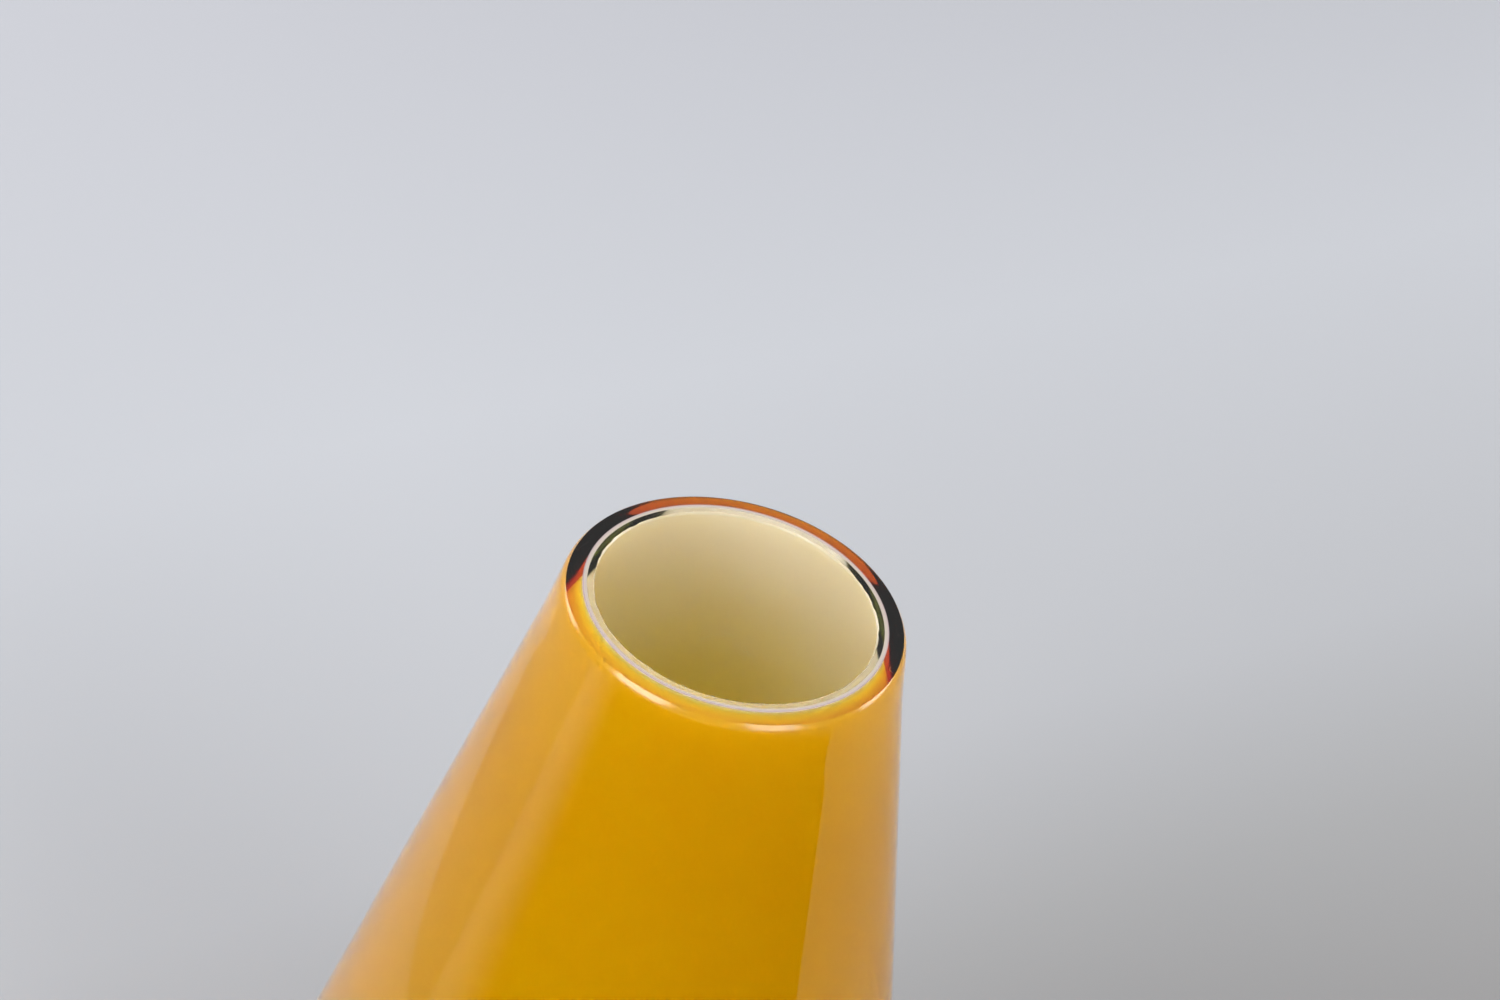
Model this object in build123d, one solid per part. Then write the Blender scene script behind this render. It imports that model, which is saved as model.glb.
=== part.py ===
"""A conical vase of cased glass, in millimetres, +Z up, with its origin where the axis meets the table.

Three layers of glass lie one inside the next and are fused over their whole faces: a transparent amber
casing outside, a white opal layer between, and a thin clear lining inside.
"""

import os
from math import cos, radians, tan

from build123d import *

# Driving dimensions of the outside.
height = 200.0  # table to rim
mouth_radius = 25.0  # where the line of the outer wall meets the rim plane
wall_lean = 12.5  # degrees between the wall and the axis
heel_radius = 16.0  # outer turn from the wall to the foot

# The three layers, square to the wall.
amber_wall = 2.3
opal_wall = 0.65
clear_wall = 1.15

# The same layers at the axis, where the gathers are thickest.
amber_floor = 5.0
opal_floor = 1.6
clear_floor = 3.4

# The underside: a ring that stands on the table, a hollow pushed up inside it, and the ground
# and polished spot that takes away the mark of the glassmaker's iron.
foot_ring_width = 6.0
hollow_rise = 3.0
pontil_radius = 13.0
pontil_depth = 0.7

# Each skin further in is pushed up less than the one below it.
rise_kept = 0.7
heel_kept = 0.86

# The rim is ground flat, its outer shoulder is melted round, and its edges are eased.
shoulder_drop = 1.8
shoulder_inset = 0.2
inner_ease = 0.25

cutter_overrun = 5.0  # how far a cutting core passes the rim

lean = radians(wall_lean)
slope = tan(lean)


def wall_radius(z, depth=0.0):
    """Radius at height z of the cone that lies depth inside the outer wall, square to it."""
    return mouth_radius + (height - z) * slope - depth / cos(lean)


heel_reach = heel_radius / tan((radians(90) - lean) / 2)  # from the sharp corner to the flat foot
hollow_radius = wall_radius(0) - heel_reach - foot_ring_width


def turned(outline, corner, heel):
    """The solid that an outline in the XZ plane sweeps round the Z axis, with one corner rounded."""
    with BuildPart() as solid:
        with BuildSketch(Plane.XZ) as section:
            with BuildLine():
                outline()
            make_face()
            fillet(section.vertices().sort_by_distance(Vector(corner[0], 0, corner[1]))[0], heel)
        revolve(axis=Axis.Z)
    return solid.part


def floor_arc(centre, rise, radius):
    """A shallow dome's half outline, from the axis down to its edge."""
    chord_middle = (radius / 2, centre - rise / 4)
    return ThreePointArc((0, centre), chord_middle, (radius, centre - rise))


def outer_body():
    """Everything inside the outer skin, as if the vase were solid."""
    shoulder_start = (wall_radius(height - shoulder_drop), height - shoulder_drop)
    arris = (mouth_radius - shoulder_inset, height)
    corner = (wall_radius(0), 0)

    def outline():
        floor_arc(hollow_rise, hollow_rise, hollow_radius)
        wall = Polyline((hollow_radius, 0), corner, shoulder_start)
        TangentArc(shoulder_start, arris, tangent=wall % 1)
        Polyline(arris, (0, height), (0, hollow_rise))

    return turned(outline, corner, heel_radius)


def core(depth, floor, step, overrun=0.0):
    """Everything inside the skin that lies depth in from the outer wall and floor above the hollow.

    step counts the skins inwards, and each is a little flatter and tighter at the heel."""
    centre = hollow_rise + floor
    rise = hollow_rise * rise_kept**step
    top = height + overrun
    corner = (wall_radius(centre - rise, depth), centre - rise)

    def outline():
        floor_arc(centre, rise, hollow_radius)
        Polyline((hollow_radius, centre - rise), corner, (wall_radius(top, depth), top), (0, top), (0, centre))

    return turned(outline, corner, heel_radius * heel_kept**step)


def pontil_mark():
    """The shallow lens ground out of the middle of the hollow."""
    grinder_radius = (pontil_radius**2 + pontil_depth**2) / (2 * pontil_depth)
    hollow_sphere = (hollow_radius**2 + hollow_rise**2) / (2 * hollow_rise)
    edge_drop = hollow_sphere - (hollow_sphere**2 - pontil_radius**2) ** 0.5
    top = hollow_rise - edge_drop + pontil_depth
    return Pos(0, 0, top - grinder_radius) * Sphere(grinder_radius)


def amber_casing():
    """The outer layer, which carries the shoulder, the heel, the foot ring and the hollow."""
    return outer_body() - core(amber_wall, amber_floor, 1, cutter_overrun) - pontil_mark()


def opal_layer():
    """The white layer, which shows as a pale ring in the rim."""
    outside = core(amber_wall, amber_floor, 1)
    inside = core(amber_wall + opal_wall, amber_floor + opal_floor, 2, cutter_overrun)
    return outside - inside


def clear_lining():
    """The innermost layer, whose eased edge is the lip of the mouth."""
    to_opal = amber_wall + opal_wall
    outside = core(to_opal, amber_floor + opal_floor, 2)
    inside = core(to_opal + clear_wall, amber_floor + opal_floor + clear_floor, 3, cutter_overrun)
    lining = outside - inside
    lip = lining.faces().sort_by(Axis.Z)[-1].edges().sort_by(SortBy.RADIUS)[0]
    return chamfer(lip, inner_ease)


os.makedirs("parts", exist_ok=True)
for piece in (amber_casing, opal_layer, clear_lining):
    export_step(piece(), f"parts/{piece.__name__}.step")
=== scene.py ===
"""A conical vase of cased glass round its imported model: amber outside, opal between, clear inside.

All lengths are metres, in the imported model's frame: the vase stands on z = 0 and its axis is z.
"""
from math import cos, pi, radians, sin, tan

import bpy
import numpy as np
from mathutils import Matrix, Vector


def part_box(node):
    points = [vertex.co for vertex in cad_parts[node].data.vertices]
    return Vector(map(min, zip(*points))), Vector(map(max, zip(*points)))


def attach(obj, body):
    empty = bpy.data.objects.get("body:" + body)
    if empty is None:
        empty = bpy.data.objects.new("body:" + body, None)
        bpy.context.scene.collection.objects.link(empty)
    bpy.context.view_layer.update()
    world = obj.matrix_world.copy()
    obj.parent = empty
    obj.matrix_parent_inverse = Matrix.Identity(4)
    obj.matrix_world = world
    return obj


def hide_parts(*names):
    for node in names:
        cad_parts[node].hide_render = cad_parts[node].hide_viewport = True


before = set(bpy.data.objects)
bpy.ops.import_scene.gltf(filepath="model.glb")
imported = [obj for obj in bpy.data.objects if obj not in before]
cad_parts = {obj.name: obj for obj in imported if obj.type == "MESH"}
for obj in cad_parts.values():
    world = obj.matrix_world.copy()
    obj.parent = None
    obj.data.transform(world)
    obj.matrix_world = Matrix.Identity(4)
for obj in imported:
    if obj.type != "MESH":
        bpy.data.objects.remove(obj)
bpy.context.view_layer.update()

# ---------------------------------------------------------------------------------------------
# Amber casing. The outer gather of transparent amber glass, 2.3 mm thick on the wall and 5 mm at
# the floor. It is fused to the opal inside it, ground flat at the rim, melted round at the
# shoulder and the heel, and ground hollow underneath where the iron was cracked off.
# ---------------------------------------------------------------------------------------------
table_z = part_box("amber_casing")[0].z
rim_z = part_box("amber_casing")[1].z
mouth_radius = 0.025
lean = radians(12.5)
heel_radius = 0.016
foot_ring = 0.006
hollow_rise = 0.003
rise_kept = 0.7  # each boundary further in keeps this share of the dome's rise
heel_kept = 0.86  # and this share of the heel's radius
amber_wall = 0.0023
amber_floor = 0.005
shoulder_drop = 0.0014
shoulder_inset = 0.00005
bead = 0.0003  # the lip swells a little where it was melted round
bead_run = 0.011  # and how far below the rim the swelling starts
pontil_radius = 0.013
pontil_depth = 0.0007
skin_inset = 0.00005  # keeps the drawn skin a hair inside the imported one
bite = 0.00015  # how far a layer's mesh runs on inside the opal, so that no ray finds a gap
off_centre = 0.0005  # how far the inner gathers stand towards +y of the outer one at the rim
off_centre_run = 0.08  # and how far below the rim they are back in the middle
turns = 288
glass_ior = 1.52
angle = np.arange(turns) * 2 * pi / turns


def wall_radius(z, depth=0.0):
    """The cone's radius at height z, depth metres inside the outer wall, measured square to it."""
    return mouth_radius + (rim_z - z) * tan(lean) - depth / cos(lean)


def straight(start, end, count):
    """Points from start to end, closer together near both ends: the share is (1 - cos(pi t)) / 2."""
    t = (1 - np.cos(np.linspace(0, pi, count))) / 2
    return np.outer(1 - t, start) + np.outer(t, end)


def arc(centre, radius, start, end, count):
    """Points on a circle in the (r, z) plane, from angle start to angle end in degrees from +r."""
    angle = np.radians(np.linspace(start, end, count))
    return np.stack([centre[0] + radius * np.cos(angle), centre[1] + radius * np.sin(angle)], 1)


heel_reach = heel_radius / tan((pi / 2 - lean) / 2)
hollow_radius = wall_radius(table_z) - heel_reach - foot_ring


def dome(centre, rise, radius, count=24):
    """Half of a shallow dome: z falls with r squared, from centre on the axis by rise at the radius."""
    r = np.linspace(0, radius, count)
    return np.stack([r, centre - rise * (r / radius) ** 2], 1)


def skin(depth, floor, step, top):
    """One boundary between layers, from the axis out along its floor, round its heel and up to top.

    The floor is a dome and a flat, and the heel is an arc tangent to the flat and to the leaning wall."""
    centre = table_z + hollow_rise + floor
    rise = hollow_rise * rise_kept**step
    low = centre - rise
    turn = heel_radius * heel_kept**step
    flat_end = wall_radius(low, depth) - turn / tan((pi / 2 - lean) / 2)
    heel = arc((flat_end, low + turn), turn, -90, np.degrees(lean), 20)
    wall = straight(heel[-1], (wall_radius(top, depth), top), 60)
    return np.concatenate([dome(centre, rise, hollow_radius), heel, wall[1:]])


def lean_over(z):
    """How far the inner gathers are off centre at height z: 3 t^2 - 2 t^3 of the whole, t = 1 at the rim."""
    t = np.clip((z - rim_z + off_centre_run) / off_centre_run, 0, 1)
    return off_centre * t * t * (3 - 2 * t)


def turned(name, profile, shift, nick=0.0):
    """A closed surface of revolution: each profile point (r, z) is a ring, and the ends are single poles.

    Ring i, step j is at (r cos a, r sin a + shift, z) with a = 2 pi j / turns. nick adds to r."""
    r, z = profile[1:-1].T
    reach = r[:, None] + np.zeros(turns) + nick
    across = reach * np.sin(angle) + shift[1:-1, None]
    height = np.repeat(z[:, None], turns, 1)
    rings = np.stack([reach * np.cos(angle), across, height], 2).reshape(-1, 3)
    poles = [[0, 0, profile[0, 1]], [0, 0, profile[-1, 1]]]
    i, j = np.meshgrid(np.arange(len(r) - 1), np.arange(turns), indexing="ij")
    k = (j + 1) % turns
    walls = np.stack([i * turns + j, i * turns + k, (i + 1) * turns + k, (i + 1) * turns + j], 2)
    j, k = np.arange(turns), (np.arange(turns) + 1) % turns
    last = (len(r) - 1) * turns
    low = np.stack([np.full(turns, len(rings)), k, j], 1)
    high = np.stack([np.full(turns, len(rings) + 1), last + j, last + k], 1)
    mesh = bpy.data.meshes.new(name)
    faces = walls.reshape(-1, 4).tolist() + low.tolist() + high.tolist()
    mesh.from_pydata(np.concatenate([rings, poles]), [], faces)
    mesh.polygons.foreach_set("use_smooth", np.ones(len(mesh.polygons), bool))
    mesh.set_sharp_from_angle(angle=radians(30))
    piece = bpy.data.objects.new(name, mesh)
    bpy.context.scene.collection.objects.link(piece)
    return piece


def amber_profile():
    """The casing's outline: hollow and foot, heel, wall, shoulder and flat rim, then back down inside.

    With it comes how far off centre each point is: none outside, growing across the rim, all inside."""
    low = wall_radius(table_z) - heel_reach
    hollow = dome(table_z + hollow_rise, hollow_rise, hollow_radius, 40)
    ground = pontil_depth * np.clip(1 - (hollow[:, 0] / pontil_radius) ** 2, 0, None)
    hollow[:, 1] += ground
    heel = arc((low, table_z + heel_radius), heel_radius, -90, np.degrees(lean), 28)
    start = np.array([wall_radius(rim_z - shoulder_drop) + bead, rim_z - shoulder_drop])
    arris = np.array([mouth_radius - shoulder_inset, rim_z])
    chord = arris - start
    bend = 2 * (np.arctan2(-chord[0], chord[1]) - lean)
    radius = np.linalg.norm(chord) / (2 * sin(bend / 2))
    centre = start - radius * np.array([cos(lean), sin(lean)])
    shoulder = arc(centre, radius, np.degrees(lean), np.degrees(lean + bend), 14)
    wall = straight(heel[-1], start - [bead, 0], 140)
    swell = np.clip((wall[:, 1] - rim_z + bead_run) / (bead_run - shoulder_drop), 0, 1)
    wall[:, 0] += bead * swell**2 * (3 - 2 * swell)
    edge = wall_radius(rim_z, amber_wall)
    rim = straight(arris, (edge, rim_z), 14)
    outside = np.concatenate([hollow, heel, wall[1:], shoulder[1:], rim[1:]])
    outside[:, 0] -= np.where(outside[:, 0] > hollow_radius, skin_inset, 0)
    inside = skin(amber_wall + bite, amber_floor + bite, 1, rim_z - 2 * bite)[::-1]
    across = np.clip((arris[0] - outside[:, 0]) / (arris[0] - edge), 0, 1) * (outside[:, 1] > rim_z - 1e-6)
    shift = np.concatenate([off_centre * across, lean_over(inside[:, 1])])
    return np.concatenate([outside, inside]), shift


def material(name):
    """A material with a bare Principled shader, and its tree, shader and output."""
    made = bpy.data.materials.new(name)
    made.use_nodes = True
    tree = made.node_tree
    return made, tree, tree.nodes["Principled BSDF"], tree.nodes["Material Output"]


def handled():
    """A node group for glass that has been blown, ground and handled, on the piece's own coordinates.

    Roughness is a little everywhere in smudges, more where Ground is 1, and sharp in a few fine scratches.
    Height is the slow swell of blown glass, the same scratches, and the tooth of the ground rim."""
    group = bpy.data.node_groups.new("handled_glass", "ShaderNodeTree")
    for socket, kind in (("Coordinates", "NodeSocketVector"), ("Ground", "NodeSocketFloat"),
                         ("Matt", "NodeSocketFloat"), ("Swell", "NodeSocketFloat")):
        group.interface.new_socket(socket, in_out="INPUT", socket_type=kind)
    for socket in ("Roughness", "Height"):
        group.interface.new_socket(socket, in_out="OUTPUT", socket_type="NodeSocketFloat")
    add = group.nodes.new
    enter, leave = add("NodeGroupInput"), add("NodeGroupOutput")

    def field(kind, scale, **settings):
        node = add(kind)
        node.inputs["Scale"].default_value = scale
        for key, value in settings.items():
            node.inputs[key].default_value = value
        group.links.new(enter.outputs["Coordinates"], node.inputs["Vector"])
        return node

    def sum_of(operation, first, second):
        node = add("ShaderNodeMath")
        node.operation = operation
        for socket, source in zip(node.inputs, (first, second)):
            if isinstance(source, float):
                socket.default_value = source
            else:
                group.links.new(source, socket)
        return node.outputs[0]

    def between(source, low, high, to):
        node = add("ShaderNodeMapRange")
        node.inputs["From Min"].default_value = low
        node.inputs["From Max"].default_value = high
        node.inputs["To Max"].default_value = to
        group.links.new(source, node.inputs["Value"])
        return node.outputs["Result"]

    breath = field("ShaderNodeTexNoise", 38.0, Detail=5.0, Distortion=0.6).outputs[0]
    smudge = between(breath, 0.52, 0.75, 0.035)
    swell = field("ShaderNodeTexNoise", 21.0, Detail=1.0).outputs[0]
    tooth = field("ShaderNodeTexNoise", 5200.0, Detail=2.0).outputs[0]
    chance = between(field("ShaderNodeTexNoise", 95.0, Detail=1.0).outputs[0], 0.63, 0.66, 1.0)
    marks = field("ShaderNodeTexWave", 160.0, Distortion=14.0, Detail=2.0)
    scratch = sum_of("MULTIPLY", chance, between(marks.outputs["Fac"], 0.992, 1.0, 1.0))
    ground = enter.outputs["Ground"]
    rough = sum_of("ADD", smudge, sum_of("MULTIPLY", scratch, 0.25))
    rough = sum_of("ADD", rough, sum_of("MULTIPLY", ground, enter.outputs["Matt"]))
    height = sum_of("MULTIPLY", swell, enter.outputs["Swell"])
    height = sum_of("SUBTRACT", height, sum_of("MULTIPLY", scratch, 0.000004))
    height = sum_of("ADD", height, sum_of("MULTIPLY", sum_of("MULTIPLY", tooth, ground), 0.000002))
    group.links.new(rough, leave.inputs["Roughness"])
    group.links.new(height, leave.inputs["Height"])
    return group


handled_glass = handled()


def finish(tree, shader, depth, stops, matt, swell):
    """Puts the handled finish on a shader. How matt it is runs up the last depth metres below the rim:

    stops are (share of the way up, share of matt), with fire-polished glass at 0 and the rim at 1."""
    place = tree.nodes.new("ShaderNodeTexCoord")
    apart = tree.nodes.new("ShaderNodeSeparateXYZ")
    rise = tree.nodes.new("ShaderNodeMapRange")
    rise.inputs["From Min"].default_value = rim_z - depth
    rise.inputs["From Max"].default_value = rim_z
    worked = tree.nodes.new("ShaderNodeValToRGB")
    for spot, share in stops:
        worked.color_ramp.elements.new(spot).color = (share, share, share, 1)
    worked.color_ramp.elements.remove(worked.color_ramp.elements[-1])
    effect = tree.nodes.new("ShaderNodeGroup")
    effect.node_tree = handled_glass
    effect.inputs["Matt"].default_value = matt
    effect.inputs["Swell"].default_value = swell
    bump = tree.nodes.new("ShaderNodeBump")
    bump.inputs["Distance"].default_value = 1.0
    tree.links.new(place.outputs["Object"], apart.inputs[0])
    tree.links.new(apart.outputs["Z"], rise.inputs["Value"])
    tree.links.new(rise.outputs["Result"], worked.inputs["Fac"])
    tree.links.new(place.outputs["Object"], effect.inputs["Coordinates"])
    tree.links.new(worked.outputs["Color"], effect.inputs["Ground"])
    tree.links.new(effect.outputs["Roughness"], shader.inputs["Roughness"])
    tree.links.new(effect.outputs["Height"], bump.inputs["Height"])
    tree.links.new(bump.outputs["Normal"], shader.inputs["Normal"])


def amber_glass():
    """Clear glass whose volume takes up blue at once, green within millimetres and red slowly."""
    made, tree, shader, out = material("amber_glass")
    shader.inputs["Base Color"].default_value = (1, 1, 1, 1)
    shader.inputs["Transmission Weight"].default_value = 1.0
    shader.inputs["IOR"].default_value = glass_ior
    finish(tree, shader, 0.004, ((0.6, 1.0), (0.97, 1.0), (0.999, 0.25)), matt=0.2, swell=0.00006)
    volume = tree.nodes.new("ShaderNodeVolumeAbsorption")
    volume.inputs["Color"].default_value = (0.984, 0.9147, 0.0, 1)
    volume.inputs["Density"].default_value = 1500.0
    tree.links.new(volume.outputs[0], out.inputs["Volume"])
    return made


amber = turned("amber_glass_casing", *amber_profile())
amber.data.materials.append(amber_glass())
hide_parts("amber_casing")
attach(amber, "root")

# ---------------------------------------------------------------------------------------------
# Opal layer. White glass 0.65 mm thick on the wall, gathered over the clear and cased with amber.
# Both of its faces are fused to transparent glass, and only its end shows, as a ring in the rim.
# ---------------------------------------------------------------------------------------------
opal_wall = 0.00065
opal_floor = 0.0016
wander = 0.02  # how far light wanders in the white glass before it leaves
grazing_ior = 0.975  # a hair below 1, so light mirrors off the white only at a shallow angle


def milky():
    """A node group for white glass as it comes from the pot, with slow clouds drawn out up the wall.

    Tint is Full where the white is dense and slides to Thin, a warmer white, in the clouds."""
    group = bpy.data.node_groups.new("milky_glass", "ShaderNodeTree")
    for socket, kind in (("Coordinates", "NodeSocketVector"), ("Full", "NodeSocketColor"),
                         ("Thin", "NodeSocketColor")):
        group.interface.new_socket(socket, in_out="INPUT", socket_type=kind)
    group.interface.new_socket("Tint", in_out="OUTPUT", socket_type="NodeSocketColor")
    enter, leave = group.nodes.new("NodeGroupInput"), group.nodes.new("NodeGroupOutput")
    drawn = group.nodes.new("ShaderNodeMapping")
    drawn.inputs["Scale"].default_value = (1, 1, 0.2)
    clouds = group.nodes.new("ShaderNodeTexNoise")
    clouds.inputs["Scale"].default_value = 60.0
    clouds.inputs["Detail"].default_value = 3.0
    clouds.inputs["Distortion"].default_value = 0.8
    share = group.nodes.new("ShaderNodeMapRange")
    share.inputs["From Min"].default_value = 0.35
    share.inputs["From Max"].default_value = 0.75
    tint = group.nodes.new("ShaderNodeMix")
    tint.data_type = "RGBA"
    group.links.new(enter.outputs["Coordinates"], drawn.inputs["Vector"])
    group.links.new(drawn.outputs["Vector"], clouds.inputs["Vector"])
    group.links.new(clouds.outputs[0], share.inputs["Value"])
    group.links.new(share.outputs["Result"], tint.inputs["Factor"])
    group.links.new(enter.outputs["Full"], tint.inputs["A"])
    group.links.new(enter.outputs["Thin"], tint.inputs["B"])
    group.links.new(tint.outputs["Result"], leave.inputs["Tint"])
    return group


milky_glass = milky()


def opal_fused(name, tint, through):
    """White glass met from inside other glass: it mirrors only what strikes it past the critical angle.

    through is the share of its light that has wandered through the layer instead of back off its face."""
    made, tree, shader, out = material(name)
    place = tree.nodes.new("ShaderNodeTexCoord")
    cloud = tree.nodes.new("ShaderNodeGroup")
    cloud.node_tree = milky_glass
    cloud.inputs["Full"].default_value = tint
    cloud.inputs["Thin"].default_value = (tint[0] * 0.985, tint[1] * 0.975, tint[2] * 0.96, 1)
    tree.links.new(place.outputs["Object"], cloud.inputs["Coordinates"])
    tree.links.new(cloud.outputs["Tint"], shader.inputs["Base Color"])
    shader.inputs["Specular IOR Level"].default_value = 0.0
    shader.inputs["Roughness"].default_value = 0.05
    shader.inputs["Subsurface Weight"].default_value = through
    shader.inputs["Subsurface Radius"].default_value = (1, 1, 1)
    shader.inputs["Subsurface Scale"].default_value = wander
    critical = tree.nodes.new("ShaderNodeFresnel")
    critical.inputs["IOR"].default_value = grazing_ior
    tree.links.new(critical.outputs[0], shader.inputs["Metallic"])
    return made


def opal_rim():
    """The same white glass where it is ground in the open air: creamy inside, with painted shade as a mauve
    outer edge.
    """
    made, tree, shader, out = material("opal_ground")
    place = tree.nodes.new("ShaderNodeTexCoord")
    flat = tree.nodes.new("ShaderNodeVectorMath")
    flat.operation = "MULTIPLY_ADD"
    flat.inputs[1].default_value = (1, 1, 0)
    flat.inputs[2].default_value = (0, -off_centre, 0)
    reach = tree.nodes.new("ShaderNodeVectorMath")
    reach.operation = "LENGTH"
    across = tree.nodes.new("ShaderNodeMapRange")
    across.inputs["From Min"].default_value = wall_radius(rim_z, amber_wall + opal_wall)
    across.inputs["From Max"].default_value = wall_radius(rim_z, amber_wall)
    tint = tree.nodes.new("ShaderNodeValToRGB")
    # the mauve at the ring's outer edge is painted shade where the white meets the amber
    cream, pink, painted_edge_shade = (0.36, 0.31, 0.25, 1), (0.37, 0.31, 0.28, 1), (0.25, 0.19, 0.20, 1)
    stops = tint.color_ramp.elements
    stops[0].color = cream
    stops[1].color = painted_edge_shade
    stops.new(0.6).color = pink
    tree.links.new(place.outputs["Object"], flat.inputs[0])
    tree.links.new(flat.outputs[0], reach.inputs[0])
    tree.links.new(reach.outputs["Value"], across.inputs["Value"])
    tree.links.new(across.outputs["Result"], tint.inputs["Fac"])
    tree.links.new(tint.outputs["Color"], shader.inputs["Base Color"])
    shader.inputs["IOR"].default_value = 1.5
    finish(tree, shader, 0.001, ((0.9, 1.0),), matt=0.3, swell=0.0)
    return made


def opal_profile():
    """The layer's outline, out along its boundary with the amber and back along that with the clear."""
    outside = skin(amber_wall, amber_floor, 1, rim_z)
    inside = skin(amber_wall + opal_wall, amber_floor + opal_floor, 2, rim_z)
    profile = np.concatenate([outside, inside[::-1]])
    return profile, lean_over(profile[:, 1])


opal = turned("opal_glass_layer", *opal_profile())
opal.data.materials.append(opal_fused("opal_outer_face", (1.0, 0.98, 0.96, 1), 0.35))
opal.data.materials.append(opal_fused("opal_inner_face", (0.995, 0.955, 0.94, 1), 0.6))
opal.data.materials.append(opal_rim())
centres = np.array([polygon.center for polygon in opal.data.polygons])
facing = np.array([polygon.normal for polygon in opal.data.polygons])
inward = np.einsum("ij,ij->i", facing[:, :2], centres[:, :2]) < 0
ring = centres[:, 2] > rim_z - 1e-6
opal.data.polygons.foreach_set("material_index", np.where(ring, 2, inward.astype(int)).astype(np.int32))
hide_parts("opal_layer")
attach(opal, "root")

# ---------------------------------------------------------------------------------------------
# Clear lining. The first gather, of colourless glass with a trace of green: 1.15 mm thick on the wall
# and 3.4 mm at the floor. It is fused to the opal, and its lip is eased by hand with a stone.
# ---------------------------------------------------------------------------------------------
clear_wall = 0.00115
clear_floor = 0.0034
inner_ease = 0.00025
nick_depth = 0.00006


def clear_glass():
    """Nearly colourless glass whose volume is faintly green, as seen down a long path through it."""
    made, tree, shader, out = material("clear_glass")
    shader.inputs["Base Color"].default_value = (1, 1, 1, 1)
    shader.inputs["Transmission Weight"].default_value = 1.0
    shader.inputs["IOR"].default_value = glass_ior
    finish(tree, shader, 0.0006, ((0.3, 1.0), (0.95, 1.0), (0.999, 0.2)), matt=0.4, swell=0.00004)
    volume = tree.nodes.new("ShaderNodeVolumeAbsorption")
    volume.inputs["Color"].default_value = (0.6, 0.85, 0.55, 1)
    volume.inputs["Density"].default_value = 14.0
    tree.links.new(volume.outputs[0], out.inputs["Volume"])
    return made


def clear_profile():
    """The lining's outline: against the opal up to the rim, over the eased lip, and back down inside."""
    to_opal = amber_wall + opal_wall
    under = amber_floor + opal_floor
    outside = skin(to_opal - bite, under - bite, 2, rim_z - 2 * bite)
    edge = np.array([[wall_radius(rim_z, to_opal), rim_z]])
    inside = skin(to_opal + clear_wall, under + clear_floor, 3, rim_z - inner_ease)
    lip = np.array([[wall_radius(rim_z, to_opal + clear_wall) + inner_ease, rim_z]])
    profile = np.concatenate([outside, edge, lip, inside[::-1]])
    return profile, lean_over(profile[:, 1])


def nicks(profile):
    """The stone's unsteady line round the lip: four sines of the angle a, on the ring at the lip.

    It is sin(7a + 0.4) + 0.7 sin(23a + 1.9) + 0.6 sin(41a + 0.2) + 0.5 sin(67a + 2.6), times the depth."""
    line = np.sin(7 * angle + 0.4) + 0.7 * np.sin(23 * angle + 1.9)
    line += 0.6 * np.sin(41 * angle + 0.2) + 0.5 * np.sin(67 * angle + 2.6)
    r, z = profile[1:-1].T
    at_lip = (z > rim_z - bite) & (r < wall_radius(rim_z, amber_wall + opal_wall) - bite)
    return nick_depth * at_lip[:, None] * line


clear_shape, clear_shift = clear_profile()
clear = turned("clear_glass_lining", clear_shape, clear_shift, nicks(clear_shape))
clear.data.materials.append(clear_glass())
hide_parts("clear_lining")
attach(clear, "root")

# ---------------------------------------------------------------------------------------------
# The studio. A pale floor in a pale room, with five soft boxes: two in front, one at each side and a
# small one overhead. The floor's grey is painted shade towards the front. A black card in front and a
# dark sheet to the left are painted shade on the floor, hidden from the lens, for the glass to mirror.
# ---------------------------------------------------------------------------------------------


def floor():
    """A plain floor with painted shade, palest a little behind the vase and greyer towards the front right.

    Its colour is a ramp along the slanting direction y - 0.9 x."""
    mesh = bpy.data.meshes.new("floor")
    half = 4.0
    mesh.from_pydata([(-half, -half, table_z), (half, -half, table_z), (half, half, table_z),
                      (-half, half, table_z)], [], [(0, 1, 2, 3)])
    made, tree, shader, out = material("floor")
    shader.inputs["Roughness"].default_value = 0.8
    shader.inputs["Specular IOR Level"].default_value = 0.2
    place = tree.nodes.new("ShaderNodeTexCoord")
    slant = tree.nodes.new("ShaderNodeVectorMath")
    slant.operation = "DOT_PRODUCT"
    slant.inputs[1].default_value = (-0.9, 1, 0)
    run = tree.nodes.new("ShaderNodeMapRange")
    run.inputs["From Min"].default_value = -0.2
    run.inputs["From Max"].default_value = 0.6
    shade = tree.nodes.new("ShaderNodeValToRGB")
    # painted shade: the grey darkens from the far floor towards the front right
    shaded_front, far = (0.17, 0.17, 0.17, 1), (0.337, 0.343, 0.372, 1)
    between = {0.275: (0.195, 0.193, 0.195, 1), 0.375: (0.237, 0.239, 0.245, 1),
               0.475: (0.29, 0.296, 0.313, 1), 0.7: (0.342, 0.352, 0.378, 1)}
    stops = shade.color_ramp.elements
    stops[0].position = 0.18
    stops[0].color = shaded_front
    stops[1].color = far
    for spot, grey in between.items():
        stops.new(spot).color = grey
    tree.links.new(place.outputs["Object"], slant.inputs[0])
    tree.links.new(slant.outputs["Value"], run.inputs["Value"])
    tree.links.new(run.outputs["Result"], shade.inputs["Fac"])
    tree.links.new(shade.outputs["Color"], shader.inputs["Base Color"])
    mesh.materials.append(made)
    plane = bpy.data.objects.new("floor", mesh)
    bpy.context.scene.collection.objects.link(plane)


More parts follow.
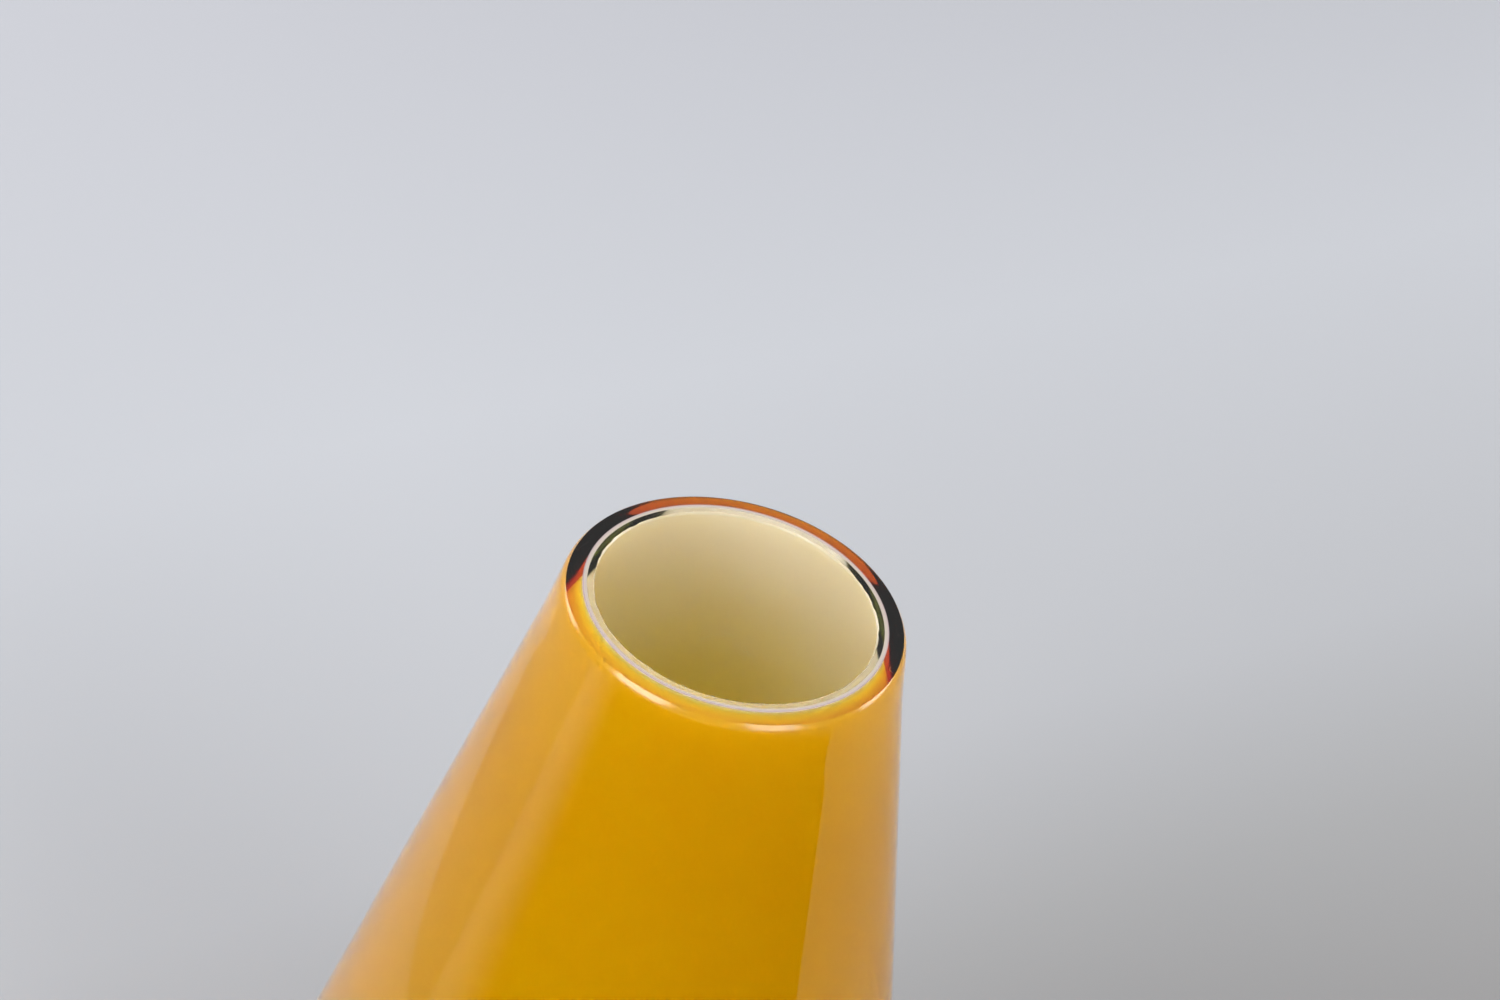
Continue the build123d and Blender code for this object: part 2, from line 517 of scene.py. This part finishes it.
def front_shade_card():
    """A black card on the floor in front, painted shade which glass mirrors as a dark field. The lens
    doesn't see it.

    Its left side fades out: alpha rises from 0 to 1 with the bearing atan2(y, x), in degrees from +x."""
    mesh = bpy.data.meshes.new("front_shade_card")
    edge = [(-0.52, -0.12), (0.3, -0.09), (0.55, -0.1), (0.9, -3.0), (-2.6, -3.0)]
    mesh.from_pydata([(x, y, table_z + 0.002) for x, y in edge], [], [tuple(range(len(edge)))])
    made, tree, shader, out = material("front_shade_card")
    # its black stands in for shade in front, seen only in the glass: painted shade
    shader.inputs["Base Color"].default_value = (0.002, 0.002, 0.002, 1)
    shader.inputs["Specular IOR Level"].default_value = 0.0
    place = tree.nodes.new("ShaderNodeTexCoord")
    apart = tree.nodes.new("ShaderNodeSeparateXYZ")
    bearing = tree.nodes.new("ShaderNodeMath")
    bearing.operation = "ARCTAN2"
    fade = tree.nodes.new("ShaderNodeMapRange")
    fade.interpolation_type = "SMOOTHSTEP"
    fade.inputs["From Min"].default_value = radians(-163)
    fade.inputs["From Max"].default_value = radians(-140)
    tree.links.new(place.outputs["Object"], apart.inputs[0])
    tree.links.new(apart.outputs["Y"], bearing.inputs[0])
    tree.links.new(apart.outputs["X"], bearing.inputs[1])
    tree.links.new(bearing.outputs[0], fade.inputs["Value"])
    tree.links.new(fade.outputs["Result"], shader.inputs["Alpha"])
    mesh.materials.append(made)
    card = bpy.data.objects.new("front_shade_card", mesh)
    card.visible_camera = card.visible_diffuse = card.visible_shadow = False
    bpy.context.scene.collection.objects.link(card)


def side_shade_card():
    """A dark sheet on the floor to the left, hidden from the lens: painted shade for the glass to mirror,
    the front card's black at 40 percent.
    """
    mesh = bpy.data.meshes.new("side_shade_card")
    edge = [(-0.26, 0.45), (-0.26, -0.06), (-0.52, -0.12), (-2.6, -3.0), (-3.2, -3.0), (-3.2, 0.45)]
    mesh.from_pydata([(x, y, table_z + 0.003) for x, y in edge], [], [tuple(range(len(edge)))])
    made, tree, shader, out = material("side_shade_card")
    # its part black is painted shade on the floor to the left, seen only in the glass
    shader.inputs["Base Color"].default_value = (0.002, 0.002, 0.002, 1)
    shader.inputs["Specular IOR Level"].default_value = 0.0
    shader.inputs["Alpha"].default_value = 0.4
    mesh.materials.append(made)
    card = bpy.data.objects.new("side_shade_card", mesh)
    card.visible_camera = card.visible_diffuse = card.visible_shadow = False
    bpy.context.scene.collection.objects.link(card)


def soft_box(name, bearing, rise, distance, width, tall, radiance):
    """An area lamp aimed at the rim, bearing degrees to the right of the camera's side and rise up."""
    lamp = bpy.data.lights.new(name, "AREA")
    lamp.shape = "RECTANGLE"
    lamp.size = width
    lamp.size_y = tall
    lamp.energy = radiance * pi * width * tall
    box = bpy.data.objects.new(name, lamp)
    bearing, rise = radians(bearing), radians(rise)
    away = Vector((sin(bearing) * cos(rise), -cos(bearing) * cos(rise), sin(rise)))
    place = Vector((0, 0, rim_z)) + distance * away
    aim = away.to_track_quat("Z", "Y")
    box.matrix_world = Matrix.Translation(place) @ aim.to_matrix().to_4x4()
    box.visible_camera = False
    bpy.context.scene.collection.objects.link(box)


def room():
    """Even walls for the glass and the lamps' fill, and a slightly cooler, brighter wall for the lens."""
    world = bpy.data.worlds.new("room")
    bpy.context.scene.world = world
    world.use_nodes = True
    tree = world.node_tree
    tree.nodes.clear()
    out = tree.nodes.new("ShaderNodeOutputWorld")
    mix = tree.nodes.new("ShaderNodeMixShader")
    path = tree.nodes.new("ShaderNodeLightPath")
    walls = tree.nodes.new("ShaderNodeBackground")
    walls.inputs[0].default_value = (0.45, 0.45, 0.45, 1)
    walls.inputs[1].default_value = 1.0
    seen = tree.nodes.new("ShaderNodeBackground")
    seen.inputs[0].default_value = (0.65, 0.66, 0.73, 1)
    tree.links.new(path.outputs["Is Camera Ray"], mix.inputs[0])
    tree.links.new(walls.outputs[0], mix.inputs[1])
    tree.links.new(seen.outputs[0], mix.inputs[2])
    tree.links.new(mix.outputs[0], out.inputs[0])


def camera():
    """An 85 mm lens half a metre off, looking down on the mouth, rolled, aimed a little past the rim."""
    distance, pitch, roll = 0.5107, radians(38.67), radians(15.68)
    past_rim = Vector((-0.0023, 0.0095, 0.0121))
    rim = Vector((0, 0, rim_z))
    place = rim + distance * Vector((0, -cos(pitch), sin(pitch)))
    aim = rim + past_rim
    ahead = (aim - place).normalized()
    level = ahead.cross(Vector((0, 0, 1))).normalized()
    above = level.cross(ahead)
    right = level * cos(roll) + above * sin(roll)
    up = right.cross(ahead)
    lens = bpy.data.cameras.new("camera")
    lens.lens = 85
    lens.sensor_width = 36
    lens.clip_start = 0.01
    eye = bpy.data.objects.new("camera", lens)
    eye.matrix_world = Matrix.Translation(place) @ Matrix((right, up, -ahead)).transposed().to_4x4()
    bpy.context.scene.collection.objects.link(eye)
    bpy.context.scene.camera = eye


floor()
front_shade_card()
side_shade_card()
soft_box("soft_box_left", bearing=-42, rise=26, distance=1.2, width=0.72, tall=0.85, radiance=10.0)
soft_box("soft_box_right", bearing=42, rise=26, distance=1.2, width=0.6, tall=0.8, radiance=7.0)
soft_box("side_box_left", bearing=-118, rise=14, distance=1.2, width=0.9, tall=0.7, radiance=5.5)
soft_box("side_box_right", bearing=118, rise=14, distance=1.2, width=0.9, tall=0.7, radiance=6.6)
soft_box("top_box", bearing=180, rise=76, distance=1.4, width=0.5, tall=0.5, radiance=7.0)
room()
camera()
bpy.context.scene.view_settings.view_transform = "Standard"
bounces = bpy.context.scene.cycles  # light wanders many times inside a white cone behind glass
bounces.max_bounces = 32
bounces.diffuse_bounces = 16
bounces.glossy_bounces = 12
bounces.transmission_bounces = 24
